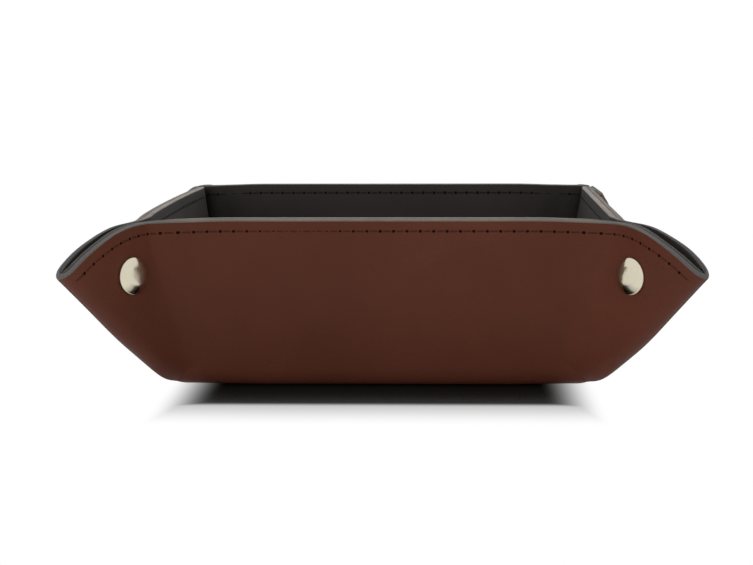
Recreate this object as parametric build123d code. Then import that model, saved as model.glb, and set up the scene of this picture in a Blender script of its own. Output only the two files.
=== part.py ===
from build123d import *
from math import acos, asin, cos, floor, radians, sin, sqrt, tan
import os

# Valet tray: a square leather sheet with a leather lining, folded up into four walls.
# Each corner is pinched to an ear and held by a snap fastener.
# Origin at the middle of the underside, +X right, +Y back, +Z up, millimetres.

# The sheet and its folds
base_width = 140.0
wall_slant = 57.0
wall_lean = 8.0
ear_corner_radius = 47.0
bend_radius = 7.0
leather_thickness = 2.3
lining_thickness = 2.0

# Each ear's swing from the corner's diagonal, in degrees, away from the side walls
ear_swing = {
    "front_left": 0.0,
    "front_right": -5.0,
    "back_left": 24.0,
    "back_right": 24.0,
}

# Clearances between sections that move apart
ear_gap = 1.0
section_gap = 0.2
fold_gap = 2.2
floor_gap = 0.4
crease_gap = 1.6
cut_overrun = 30.0

# The stitch line
stitch_margin = 3.75
stitch_pitch = 4.4
stitch_length = 3.2
stitch_width = 0.8
stitch_height = 0.35

# A snap's place on the ear: in from the rim, at a share of the turn from fold line to corner line
snap_inset = 15.8
snap_share = 0.62

# Snap cap, with the tube that goes through the sheets
cap_diameter = 12.4
cap_edge = 0.7
cap_dome = 2.2
tube_diameter = 3.0
tube_clearance = 0.15
flare_diameter = 4.2
flare_height = 0.4

# Snap socket and its spring, seated in the lining
seat_depth = 1.3
seat_clearance = 0.25
socket_diameter = 10.4
socket_floor = 0.6
mouth_diameter = 4.9
mouth_clearance = 0.2
spring_wire = 0.5
spring_clearance = 0.08
spring_turn = 325

# Snap stud and the post that holds it
flange_diameter = 9.6
flange_height = 0.6
neck_diameter = 3.8
neck_height = 1.1
head_diameter = 4.3
head_height = 0.7
post_diameter = 9.4
post_height = 1.0
post_hollow_diameter = 5.0
post_floor = 0.4

# Angles of the folded sheet
lean = radians(wall_lean)
fold_turn = radians(90) - lean
corner_rise = sqrt(1 + 2 * tan(lean) ** 2)
corner_lean = acos(1 / corner_rise)
ear_sector = radians(45) - asin(tan(lean) / corner_rise)
fold_climb = radians(90) - corner_lean - ear_sector
edge_climb = fold_climb + radians(45)

# Thicknesses and the bend along each side of the base
sheet_thickness = leather_thickness + lining_thickness
base_half = base_width / 2
bend_reach = bend_radius * tan(fold_turn / 2)
bend_gap_turn = section_gap / 2 / bend_radius
ear_outside = ear_gap / 2 + sheet_thickness

# Directions and planes at the front right corner
crease_corner = Vector(base_half, -base_half, 0)
corner_line = Vector(tan(lean), -tan(lean), 1).normalized()
wall_normal = Vector(0, -cos(lean), -sin(lean))
wall_rise = Vector(0, -sin(lean), cos(lean))
crease_normal = Vector(0, -cos(fold_turn / 2), sin(fold_turn / 2))
section_plane = Plane(origin=(0, -base_half, 0), x_dir=(0, -1, 0), z_dir=(-1, 0, 0))


class Ear:
    """An ear at the front right corner, swung from the diagonal, seen from the front wall."""

    def __init__(self, swing):
        turned = Axis((0, 0, 0), corner_line)
        self.normal = Vector(-1, -1, 0).normalized().rotate(turned, -swing)
        self.plane = Plane(
            origin=crease_corner,
            x_dir=Vector(1, -1, 0).rotate(turned, -swing),
            z_dir=self.normal,
        )
        # This half folds where the faces between leather and lining meet
        share = wall_normal.dot(self.normal)
        height = ear_gap / 2 + lining_thickness
        self.turn = acos(share)
        foot = (
            wall_normal * (-leather_thickness - share * height)
            + self.normal * (height + share * leather_thickness)
        ) * (1 / (1 - share**2))
        self.foot = crease_corner + foot
        # The leather is cut to meet as folded, the lining to meet when the sheet lies flat
        middle = (wall_normal + self.normal).normalized()
        self.wall_cut = {"leather": corner_line.cross(middle), "lining": corner_line.cross(wall_normal)}
        self.ear_cut = {"leather": corner_line.cross(middle), "lining": corner_line.cross(self.normal)}
        # How far the ear half creeps outwards along the sheet when it lies flat
        creep = foot.dot((self.normal - wall_normal).cross(corner_line))
        # The fold edge keeps each ear half on its own side when the sheet lies flat
        self.fold_tangent = ear_outside + fold_gap / 2 + creep * cos(ear_sector)
        # The ear's rim goes on from the wall's rim, then round the sheet's corner
        climb = (wall_slant - foot.dot(wall_rise)) / corner_line.dot(wall_rise)
        across = self.plane.x_dir * cos(edge_climb) + self.plane.y_dir * sin(edge_climb)
        edge_distance = (foot + corner_line * climb).dot(across)
        self.arc_middle = (edge_distance - ear_corner_radius) * sqrt(2)
        self.reach = self.arc_middle + ear_corner_radius
        # The snap lies on a line from the base's corner to the round rim
        turn = snap_share * ear_sector
        round_part = sqrt(ear_corner_radius**2 - (self.arc_middle * sin(turn)) ** 2)
        distance = self.arc_middle * cos(turn) + round_part - snap_inset
        self.snap = Vector(*in_ear(distance * cos(turn), distance * sin(turn)))


# Depths of the layers under the brown face
layers = {
    "leather": (0, leather_thickness),
    "lining": (leather_thickness, sheet_thickness),
}


def keep_beyond(shape, origin, normal, gap):
    """Keep what lies further than gap beyond a plane, on the side its normal points to."""
    return shape.split(Plane(origin=origin + normal * gap, z_dir=normal), keep=Keep.TOP)


def in_bend(depth, turn):
    """Point in a bend's cross section, by its depth and its turn up from the floor."""
    radius = bend_radius - depth
    return (radius * sin(turn) - bend_reach, bend_radius - radius * cos(turn))


def in_wall(slant, depth):
    """Point in a wall's cross section, along its slope and under its brown face."""
    return (slant * sin(lean) - depth * cos(lean), slant * cos(lean) + depth * sin(lean))


def bend_arc(depth, start, end):
    return ThreePointArc(in_bend(depth, start), in_bend(depth, (start + end) / 2), in_bend(depth, end))


# Walls and base

def wall_layer(layer, left_ear, right_ear):
    """One layer of the front wall, from the middle of its bend up to the rim."""
    outer, inner = layers[layer]
    start = fold_turn / 2 + bend_gap_turn
    with BuildSketch(section_plane) as profile:
        with BuildLine():
            bend_arc(outer, start, fold_turn)
            Line(in_bend(outer, fold_turn), in_wall(wall_slant, outer))
            Line(in_wall(wall_slant, outer), in_wall(wall_slant, inner))
            Line(in_wall(wall_slant, inner), in_bend(inner, fold_turn))
            bend_arc(inner, fold_turn, start)
            Line(in_bend(inner, start), in_bend(outer, start))
        make_face()
    wall = extrude(profile.sketch, amount=base_half + cut_overrun, both=True)
    wall = keep_beyond(wall, right_ear.foot, -right_ear.wall_cut[layer], section_gap / 2)
    wall = keep_beyond(wall.mirror(Plane.YZ), left_ear.foot, -left_ear.wall_cut[layer], section_gap / 2)
    return wall.mirror(Plane.YZ)


def tub(depth, end, top):
    """Space above a depth, its bends turned up to end and its sides going on to top."""
    points = []
    for turn in (0, end / 2, end):
        out, up = in_bend(depth, turn)
        points.append((base_half + out, up))
    with BuildSketch(Plane.XZ) as region:
        with BuildLine():
            ThreePointArc(*points)
            Line(points[2], top)
            Line(top, (0, top[1]))
            Line((0, top[1]), (0, depth))
            Line((0, depth), points[0])
        make_face()
        mirror(about=Plane.YZ)
    prism = extrude(region.sketch, amount=base_width, both=True)
    return prism & prism.rotate(Axis.Z, 90)


def base_layer(layer):
    """One layer of the base, with the lower half of the bend along each side."""
    outer, inner = layers[layer]
    end = fold_turn / 2 - bend_gap_turn
    out, up = in_bend(outer, end)
    within = tub(outer, end, (base_half + out - bend_radius * tan(end), up + bend_radius))
    out, up = in_wall(wall_slant, inner)
    return within - tub(inner, fold_turn, (base_half + out, up))


# Ear halves, made at the front right corner on the front wall's side, by depth from the brown face

def in_ear(along, across):
    """Point in the ear's plane, along its fold line and up from it."""
    return (
        along * cos(fold_climb) - across * sin(fold_climb),
        along * sin(fold_climb) + across * cos(fold_climb),
    )


def on_rim(ear, turn, inset):
    """Point along the ear's round rim, by its turn from the fold line, inset from the edge."""
    radius = ear_corner_radius - inset
    return in_ear(ear.arc_middle + radius * cos(turn), radius * sin(turn))


def ear_plate(ear, outer, inner):
    """One layer of the flat part of an ear half."""
    tip_turn = asin(ear.fold_tangent / ear_corner_radius)
    tip = on_rim(ear, tip_turn, 0)
    between = on_rim(ear, (tip_turn + radians(45)) / 2, 0)
    shoulder = on_rim(ear, radians(45), 0)
    beyond = (
        shoulder[0] - cut_overrun * sin(edge_climb),
        shoulder[1] + cut_overrun * cos(edge_climb),
    )
    start = in_ear(-cut_overrun, ear.fold_tangent)
    with BuildSketch(ear.plane.offset(ear_outside - inner)) as outline:
        with BuildLine():
            Line(start, tip)
            ThreePointArc(tip, between, shoulder)
            Line(shoulder, beyond)
            Line(beyond, start)
        make_face()
    return extrude(outline.sketch, amount=inner - outer)


def ear_fold(ear, outer, inner):
    """One layer of the rounded fold edge, the quarter of it on this half's side."""
    start = ear.plane.from_local_coords(Vector(*in_ear(-cut_overrun, ear.fold_tangent)))
    end = ear.plane.from_local_coords(Vector(*in_ear(ear.reach, ear.fold_tangent)))
    with BuildSketch(Plane(origin=start, x_dir=ear.normal, z_dir=end - start)) as quarter:
        Circle(ear_outside - outer)
        Circle(ear_outside - inner, mode=Mode.SUBTRACT)
        with Locations((fold_gap / 2, 0)):
            Rectangle(ear_outside, ear_outside, align=Align.MIN, mode=Mode.INTERSECT)
    return extrude(quarter.sketch, amount=cut_overrun + ear.reach)


def ear_layer(ear, layer):
    half = ear_plate(ear, *layers[layer]) + ear_fold(ear, *layers[layer])
    half = keep_beyond(half, ear.foot, ear.ear_cut[layer], section_gap / 2)
    half = keep_beyond(half, Vector(0, -base_half, 0), crease_normal, crease_gap)
    return keep_beyond(half, Vector(0, 0, 0), Vector(0, 0, 1), floor_gap)


# Snap fasteners, each made along +Z from its seat

def disc(diameter, height, bottom=0):
    return Pos(0, 0, bottom) * Cylinder(
        diameter / 2, height, align=(Align.CENTER, Align.CENTER, Align.MIN)
    )


def snap_cap():
    """Domed cap on the brown face, with its tube flared over the socket's floor."""
    rim = cap_diameter / 2
    rise = cap_dome - cap_edge
    sphere = (rim**2 + rise**2) / (2 * rise)
    dome = Pos(0, 0, cap_dome - sphere) * Sphere(sphere)
    cap = dome & disc(cap_diameter, cap_dome)
    depth = sheet_thickness - seat_depth + socket_floor
    return cap + disc(tube_diameter, depth, -depth) + disc(flare_diameter, flare_height, -depth - flare_height)


def seat_room():
    """Room between the seats of the socket and the stud."""
    return ear_gap + 2 * seat_depth


def socket_height():
    return seat_room() - flange_height - mouth_clearance


def spring_height():
    """Height of the spring over the socket's seat, beside the stud's neck."""
    return socket_floor + flare_height + mouth_clearance + head_height + spring_wire / 2


def snap_socket():
    groove = spring_wire + 2 * spring_clearance
    bottom = spring_height() - groove / 2
    socket = disc(socket_diameter, socket_height())
    socket -= disc(tube_diameter + 2 * tube_clearance, socket_floor)
    socket -= disc(mouth_diameter, socket_height(), socket_floor)
    return socket - disc(neck_diameter + 2 * groove, groove, bottom)


def snap_spring():
    """Split wire ring in the socket's groove, which grips the stud's neck."""
    ring = neck_diameter / 2 + spring_clearance + spring_wire / 2
    with BuildSketch(Plane.XZ) as wire:
        with Locations((ring, 0)):
            Circle(spring_wire / 2)
    return Pos(0, 0, spring_height()) * revolve(wire.sketch, Axis.Z, spring_turn)


def snap_stud():
    stud = disc(flange_diameter, flange_height)
    stud += disc(neck_diameter, neck_height, flange_height)
    stud += disc(head_diameter, head_height, flange_height + neck_height)
    return stud - disc(tube_diameter + 2 * tube_clearance, flange_height + neck_height)


def snap_post():
    """Ring-shaped back of the stud on the brown face, its tube held in the stud's neck."""
    depth = sheet_thickness - seat_depth + flange_height
    post = disc(post_diameter, post_height) - disc(post_hollow_diameter, post_height, post_floor)
    return post + disc(tube_diameter, depth, -depth)


# Stitches: a bar on each face for every stitch

def stitch_bar():
    return Box(stitch_length, stitch_width, stitch_height, align=(Align.CENTER, Align.CENTER, Align.MIN))


def stitch_room(ear):
    """How many stitches fit between the middle of a wall's row and the ear at its end."""
    slant = wall_slant - stitch_margin
    climb = (slant - (ear.foot - crease_corner).dot(wall_rise)) / corner_line.dot(wall_rise)
    end = (ear.foot + corner_line * climb).X - sheet_thickness * tan(ear.turn / 2)
    return floor((end - section_gap - stitch_length / 2) / stitch_pitch)


def wall_stitches(left_ear, right_ear):
    slant = wall_slant - stitch_margin
    bars = []
    for depth, normal in ((0, wall_normal), (sheet_thickness, -wall_normal)):
        out, up = in_wall(slant, depth)
        for index in range(-stitch_room(left_ear), stitch_room(right_ear) + 1):
            place = index * stitch_pitch
            plane = Plane(origin=(place, -base_half - out, up), x_dir=(1, 0, 0), z_dir=normal)
            bars.append(plane * stitch_bar())
    return bars


def ear_stitches(ear):
    radius = ear_corner_radius - stitch_margin
    step = stitch_pitch / radius
    first = asin(ear.fold_tangent / radius) + step / 2
    count = floor((radians(45) - first) / step) + 1
    clear = stitch_length / 2 + section_gap
    bars = []
    for height, side in ((ear_outside, 1), (ear_gap / 2, -1)):
        face = ear.plane.offset(height)
        middle = face.from_local_coords(Vector(*in_ear(ear.arc_middle, 0)))
        for index in range(count):
            turn = first + index * step
            origin = face.from_local_coords(Vector(*on_rim(ear, turn, stitch_margin)))
            if (origin - ear.foot).dot(ear.ear_cut["leather"]) < clear:
                break
            along = face.from_local_coords(Vector(*on_rim(ear, turn + radians(90), stitch_margin)))
            plane = Plane(origin=origin, x_dir=along - middle, z_dir=ear.normal * side)
            bars.append(plane * stitch_bar())
    return bars


# The four sides of the tray are one side turned about the middle
sides = {"front": 0, "right": 90, "back": 180, "left": 270}
next_side = {"front": "right", "right": "back", "back": "left", "left": "front"}
last_side = {after: side for side, after in next_side.items()}
cap_sides = ("front", "back")
nodes = {}


def corner_name(side, end):
    return f"{side}_{end}" if side in cap_sides else f"{end}_{side}"


def ear_at(side, end):
    """The ear at one end of a side's wall, as that wall sees it."""
    swing = ear_swing[corner_name(side, end)]
    return Ear(swing if side in cap_sides else -swing)


def ear_pieces(ear, side):
    """Everything that one ear half carries, by the start of its node's name."""
    outward = Plane(
        origin=ear.plane.offset(ear_outside).from_local_coords(ear.snap),
        x_dir=ear.plane.x_dir,
        z_dir=ear.normal,
    )
    inward = Plane(
        origin=ear.plane.offset(ear_gap / 2 + seat_depth).from_local_coords(ear.snap),
        x_dir=ear.plane.x_dir,
        z_dir=-ear.normal,
    )
    through = 2 * sheet_thickness
    tube_hole = outward * disc(tube_diameter + 2 * tube_clearance, through, -through)
    seat_hole = inward * disc(socket_diameter + 2 * seat_clearance, seat_depth)
    pieces = {
        "leather_ear": [ear_layer(ear, "leather") - tube_hole],
        "lining_ear": [ear_layer(ear, "lining") - tube_hole - seat_hole],
        "thread_ear": ear_stitches(ear),
    }
    if side in cap_sides:
        pieces["snap_cap"] = [outward * snap_cap()]
        pieces["snap_socket"] = [inward * snap_socket()]
        pieces["snap_spring"] = [inward * snap_spring()]
    else:
        pieces["snap_post"] = [outward * snap_post()]
        pieces["snap_stud"] = [inward * snap_stud()]
    return pieces


for side, angle in sides.items():
    for end in (next_side[side], last_side[side]):
        for start, pieces in ear_pieces(ear_at(side, end), side).items():
            if end == last_side[side]:
                pieces = [piece.mirror(Plane.YZ) for piece in pieces]
            pieces = [piece.rotate(Axis.Z, angle) for piece in pieces]
            place = corner_name(side, end) if start.startswith("snap") else f"{side}_{end}"
            nodes[f"{start}_{place}"] = Compound(children=pieces)
    ears = (ear_at(side, last_side[side]), ear_at(side, next_side[side]))
    threads = [bar.rotate(Axis.Z, angle) for bar in wall_stitches(*ears)]
    nodes[f"thread_wall_{side}"] = Compound(children=threads)
    for layer in layers:
        nodes[f"{layer}_wall_{side}"] = wall_layer(layer, *ears).rotate(Axis.Z, angle)

for layer in layers:
    nodes[f"{layer}_base"] = base_layer(layer)

os.makedirs("parts", exist_ok=True)
for name, shape in nodes.items():
    export_step(shape, f"parts/{name}.step")
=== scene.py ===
import bpy
import math
import numpy as np
from mathutils import Matrix, Vector


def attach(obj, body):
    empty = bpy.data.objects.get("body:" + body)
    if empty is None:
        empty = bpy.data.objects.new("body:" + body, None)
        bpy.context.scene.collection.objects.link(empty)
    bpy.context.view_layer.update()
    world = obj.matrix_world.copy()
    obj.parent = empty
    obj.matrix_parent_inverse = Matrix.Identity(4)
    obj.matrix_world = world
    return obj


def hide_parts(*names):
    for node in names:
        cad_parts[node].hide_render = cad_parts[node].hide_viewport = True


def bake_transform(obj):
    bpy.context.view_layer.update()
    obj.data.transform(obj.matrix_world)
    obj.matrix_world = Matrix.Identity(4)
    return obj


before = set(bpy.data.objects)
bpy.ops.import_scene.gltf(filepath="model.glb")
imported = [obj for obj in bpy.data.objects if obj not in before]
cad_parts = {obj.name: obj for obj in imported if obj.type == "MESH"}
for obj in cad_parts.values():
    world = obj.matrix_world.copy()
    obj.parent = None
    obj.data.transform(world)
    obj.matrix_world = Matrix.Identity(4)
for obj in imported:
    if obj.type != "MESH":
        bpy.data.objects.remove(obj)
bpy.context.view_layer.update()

MM = 0.001
DIAGONAL = math.radians(45)

# The tray's sizes in millimetres and radians, as in the part's source
BASE_HALF = 70.0
SLANT = 57.0
LEAN = math.radians(8)
TURN = math.radians(90) - LEAN
CORNER_RADIUS = 47.0
BEND = 7.0
LEATHER = 2.3
LINING = 2.0
THICK = LEATHER + LINING
EAR_GAP = 1.0
STITCH_MARGIN = 3.75
STITCH_PITCH = 4.4
SNAP_REACH = 18.774
SNAP_HEIGHT = 39.662
EAR_OUT = EAR_GAP / 2 + THICK
BEND_REACH = BEND * math.tan(TURN / 2)

# The corner line's rise, the angle between it and the fold edge, and the fold edge's own slope
RISE = math.sqrt(1 + 2 * math.tan(LEAN) ** 2)
SECTOR = DIAGONAL - math.asin(math.tan(LEAN) / RISE)
FOLD_CLIMB = math.radians(90) - math.acos(1 / RISE) - SECTOR

SIDES = {"front": 0, "right": 90, "back": 180, "left": 270}
NEXT = {"front": "right", "right": "back", "back": "left", "left": "front"}
LAST = {after: side for side, after in NEXT.items()}
CAP_SIDES = ("front", "back")

# How far each ear is swung back or forth, in degrees
SWING = {"front_left": 0.0, "front_right": -5.0, "back_left": 24.0, "back_right": 24.0}
# How far each ear's fold edge bows down and how far its mouth bulges open, in millimetres
FOLD_BOW = {"front_left": 0.9, "front_right": 1.9, "back_left": 0.8, "back_right": 0.8}
LENS = {"front_left": 0.8, "front_right": 1.7, "back_left": 0.8, "back_right": 0.8}
# How far the brown edge stands back from the lining's, on the side walls' ear halves
BEVEL = {"front": 0.9, "back": 2.6}

# The front right corner of the base, and the directions of the corner's diagonal plane
V = np.array([BASE_HALF, -BASE_HALF, 0.0])
CORNER_LINE = np.array([math.tan(LEAN), -math.tan(LEAN), 1.0]) / RISE
E_DIR = np.array([1, -1, 0]) / math.sqrt(2)
N_DIR = np.array([-1, -1, 0]) / math.sqrt(2)
Z_DIR = np.array([0, 0, 1.0])
Q_DIR = np.cross(CORNER_LINE, N_DIR)
if Q_DIR[0] < 0:
    Q_DIR = -Q_DIR
WALL_NORMAL = np.array([0, -math.cos(LEAN), -math.sin(LEAN)])

# How far before the corner line the sheet begins to bend between a wall and an ear half
BLEND_IN = 10.0


def smoothstep(x):
    x = np.clip(x, 0, 1)
    return x * x * (3 - 2 * x)


def rise(x, start, width):
    """0 up to the start, 1 from start + width on, and smooth between them."""
    return smoothstep((x - start) / width)


def softplus(x):
    return np.logaddexp(0, x)


def smooth_max(a, b, k):
    k = np.maximum(k, 1e-6)
    h = np.maximum(k - np.abs(a - b), 0)
    return np.maximum(a, b) + h * h / (4 * k)


def unit(v):
    return v / np.maximum(np.linalg.norm(v, axis=-1, keepdims=True), 1e-12)


def rotate_about(p, origin, axis, angle):
    d = p - origin
    axis = axis / np.linalg.norm(axis)
    c, s = np.cos(angle)[..., None], np.sin(angle)[..., None]
    along = (d @ axis)[..., None] * axis
    return origin + along + (d - along) * c + np.cross(axis, d) * s


def corner_name(side, end):
    return f"{side}_{end}" if side in CAP_SIDES else f"{end}_{side}"


# The wall's cross section: outward distance from the base's edge, and height

def section_at_height(z, depth):
    """Outward distance of a surface at a depth under the brown face, by its height."""
    radius = BEND - depth
    top = BEND - radius * math.cos(TURN)
    turn = np.arccos(np.clip((BEND - np.minimum(z, top)) / radius, -1, 1))
    bend = radius * np.sin(turn) - BEND_REACH
    plane = z * math.tan(LEAN) - depth / math.cos(LEAN)
    return np.where(z < top, bend, plane)


FLAT_START = 10.5


def section(v, depth):
    """Outward distance and height along the section.
    v goes from the flat floor (0) over the bend (1 to 2) to the rim (3)."""
    radius = BEND - depth
    v = np.asarray(v, float)
    flat = np.clip(v, 0, 1)
    turn = np.clip(v - 1, 0, 1) * TURN
    up = np.clip(v - 2, 0, 1)
    length = SLANT - BEND_REACH
    out = -FLAT_START + flat * (FLAT_START - BEND_REACH) + radius * np.sin(turn)
    z = BEND - radius * np.cos(turn)
    return out + up * length * math.sin(LEAN), z + up * length * math.cos(LEAN)


# The rows of a wall's grid; the ears begin at the mitre's row
MITRE_ROW = 1.56
ROWS_LOW = [0.0, 0.35, 0.7, 1.0, 1.1, 1.2, 1.3, 1.4, 1.48]
ROWS_BEND_HIGH = [MITRE_ROW, 1.60, 1.65, 1.70, 1.75, 1.80, 1.86, 1.93]
ROWS = np.array(ROWS_LOW + ROWS_BEND_HIGH + list(np.linspace(2.0, 2.985, 44)) + [3.0])
FIRST_HIGH = len(ROWS_LOW)

SEAM_MARGIN, SEAM_EASE = 1.5, 13.0


def seam_x(v, depth):
    """Half width of the wall's piece along its section."""
    out, z = section(v, depth)
    mitre = BASE_HALF + out
    m_out, m_z = section(MITRE_ROW, depth)
    top = BASE_HALF - (BLEND_IN + SEAM_MARGIN) * math.sqrt(2) + z * math.tan(LEAN)
    share = rise(z, m_z, SEAM_EASE)
    return np.where(v <= MITRE_ROW, mitre, (BASE_HALF + m_out) * (1 - share) + top * share)


# Place along both axes, radius, height and amount of the lift, and of the tighter bend
LIFT_AT, LIFT_RADIUS, LIFT_HEIGHT, LIFT = 67.0, 15.0, 22.0, 0.35
TIGHT_AT, TIGHT_RADIUS, TIGHT_HEIGHT, TIGHTEN = 71.0, 9.0, 15.0, 0.43


def corner_lift(p):
    """The bend is drawn tighter at the base's corners, which stand a little off the floor."""
    z = p[..., 2]

    def nearness(at, radius):
        distance = np.hypot(np.abs(p[..., 0]) - at, np.abs(p[..., 1]) - at)
        return np.exp(-(distance / radius) ** 2)

    low = nearness(LIFT_AT, LIFT_RADIUS) * np.clip(1 - z / LIFT_HEIGHT, 0, 1)
    tight = TIGHTEN * nearness(TIGHT_AT, TIGHT_RADIUS) * (1 - smoothstep(z / TIGHT_HEIGHT))
    q = p.copy()
    q[..., 2] += LIFT * low - z * tight
    return q


# A wall's slight belly and ripple: their size, extent along x, and how far they go inwards
BELLY, BELLY_HALF_WIDTH, BELLY_POWER = 0.5, 64.0, 1.5
BELLY_START, BELLY_ROWS = 1.2, 1.8
RIPPLE, RIPPLE_LENGTH, RIPPLE_PHASE, RIPPLE_FADE = 0.18, 17.0, 0.8, (40.0, 14.0)
INWARDS = -0.6


def wall_point(x, v, depth):
    out, z = section(v, depth)
    up = np.sin(math.pi * np.clip((v - BELLY_START) / BELLY_ROWS, 0, 1))
    bow = BELLY * up * np.cos(x / BELLY_HALF_WIDTH * math.pi / 2).clip(0, 1) ** BELLY_POWER
    wave = RIPPLE * np.sin(x / RIPPLE_LENGTH + RIPPLE_PHASE)
    wave = wave * np.sin(math.pi * np.clip(v - 2, 0, 1))
    bow = bow + wave * (1 - rise(np.abs(x), *RIPPLE_FADE))
    x, out, z = np.broadcast_arrays(x, out, z)
    return np.stack([x, -BASE_HALF - out, z], -1) + bow[..., None] * WALL_NORMAL * INWARDS


# How softly the fold edge leaves the floor, and the ear's face leaves the wall, on both faces
BROWN_SOFT, LINING_SOFT = 4.5, 3.3
BROWN_CREASE, LINING_CREASE = 2.6, 5.5
CREASE_GROWTH, CREASE_START = 60.0, 3.0
BOW_SKEW, BOW_POWER = 0.8, 1.2
LENS_SKEW, LENS_POWER, LENS_START, LENS_WIDTH, LENS_FADE = 1.3, 1.4, 22.0, 25.0, 6.0
# The snap presses the lining in around itself: by how much, within what radius, fading how far
PRESS, PRESS_RADIUS, PRESS_FADE = 0.6, 5.5, 3.0


class Half:
    """An ear half as a height over the corner's diagonal plane, e outwards and z up."""

    def __init__(self, corner, on_side_wall):
        self.bevel = BEVEL[corner.split("_")[0]] if on_side_wall else 0.0
        swing = SWING[corner]
        self.swing = math.radians(-swing if on_side_wall else swing)
        self.bow = FOLD_BOW[corner]
        self.lens = LENS[corner]
        share = np.dot(WALL_NORMAL, N_DIR)
        height = EAR_GAP / 2 + LINING
        foot = WALL_NORMAL * (-LEATHER - share * height) + N_DIR * (height + share * LEATHER)
        foot = foot / (1 - share ** 2)
        slope = FOLD_CLIMB + DIAGONAL
        across = E_DIR * math.cos(slope) + Z_DIR * math.sin(slope)
        wall_rise = np.array([0, -math.sin(LEAN), math.cos(LEAN)])
        climb = (SLANT - foot @ wall_rise) / (CORNER_LINE @ wall_rise)
        self.edge = (foot + CORNER_LINE * climb) @ across
        self.centre = (self.edge - CORNER_RADIUS) * math.sqrt(2)

    def to_lc(self, e, z):
        """Along the fold edge, and square to it."""
        return (e * math.cos(FOLD_CLIMB) + z * math.sin(FOLD_CLIMB),
                -e * math.sin(FOLD_CLIMB) + z * math.cos(FOLD_CLIMB))

    def centre_ez(self):
        """The middle of the ear's round corner."""
        return self.centre * math.cos(FOLD_CLIMB), self.centre * math.sin(FOLD_CLIMB)

    def bow_at(self, e):
        reach = (self.centre + CORNER_RADIUS) * math.cos(FOLD_CLIMB)
        s = np.clip(e / reach, 0, 1)
        return self.bow * np.sin(math.pi * s ** BOW_SKEW) ** BOW_POWER

    def floor(self, e, lining):
        """Height of the fold edge under each point."""
        slope = math.tan(FOLD_CLIMB)
        if lining:
            z0, soft = THICK, LINING_SOFT
            e0 = (THICK - THICK / math.cos(FOLD_CLIMB)) / slope
        else:
            z0, soft, e0 = 0.0, BROWN_SOFT, 0.0
        bow = self.bow_at(e) / math.cos(FOLD_CLIMB)
        return z0 + slope * soft * softplus((e - e0) / soft) - bow

    def height(self, e, z, lining):
        depth = THICK if lining else 0.0
        radius = EAR_GAP / 2 if lining else EAR_OUT
        c = np.maximum((z - self.floor(e, lining)) * math.cos(FOLD_CLIMB), 0)
        flat = radius * np.sqrt(np.clip(1 - (1 - np.minimum(c, radius) / radius) ** 2, 0, 1))
        l, cc = self.to_lc(e, z)
        phi = np.arctan2(cc, l - self.centre) / DIAGONAL
        rho = np.hypot(l - self.centre, cc)
        bulge = np.sin(math.pi * np.clip(1 - phi, 0, 1) ** LENS_SKEW) ** LENS_POWER
        outer = np.clip((rho - LENS_START) / LENS_WIDTH, 0, 1) ** 2
        flat = flat + self.lens * bulge * outer * smoothstep(cc / LENS_FADE)
        wall = math.sqrt(2) * section_at_height(np.maximum(z, 1e-4 + depth), depth) - e
        crease = LINING_CREASE if lining else BROWN_CREASE
        k = crease * (1 + z / CREASE_GROWTH) * np.clip(c / CREASE_START, 0, 1)
        return smooth_max(flat, wall, k)

    def place(self, e, z, h):
        p = V + e[..., None] * E_DIR + z[..., None] * Z_DIR + h[..., None] * N_DIR
        w = smoothstep(((p - V) @ Q_DIR + BLEND_IN) / BLEND_IN)
        return rotate_about(p, V, CORNER_LINE, -self.swing * w)

    def surface(self, e, z, lining):
        h = self.height(e, z, lining)
        if lining:
            from_snap = np.hypot(e - SNAP_REACH, z - SNAP_HEIGHT)
            h = h + PRESS * (1 - rise(from_snap, PRESS_RADIUS, PRESS_FADE))
        return self.place(e, z, h)

    def rim(self, e, inset, lining):
        """Height of the rim over e, on the wall and on the ear's straight and round edge."""
        wall_z = (SLANT - inset) * math.cos(LEAN) + (THICK * math.sin(LEAN) if lining else 0)
        ec, zc = self.centre_ez()
        r = CORNER_RADIUS - inset
        arc = zc + np.sqrt(np.maximum(r * r - (e - ec) ** 2, 0))
        a = FOLD_CLIMB + DIAGONAL
        straight = ((self.edge - inset) - e * math.cos(a)) / math.sin(a)
        ear = np.where(e > ec + r * math.cos(a), arc, straight)
        return np.minimum(ear, wall_z)


# Materials

def srgb(r, g, b):
    def lin(c):
        c = c / 255
        return c / 12.92 if c <= 0.04045 else ((c + 0.055) / 1.055) ** 2.4
    return (lin(r), lin(g), lin(b), 1)


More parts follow.
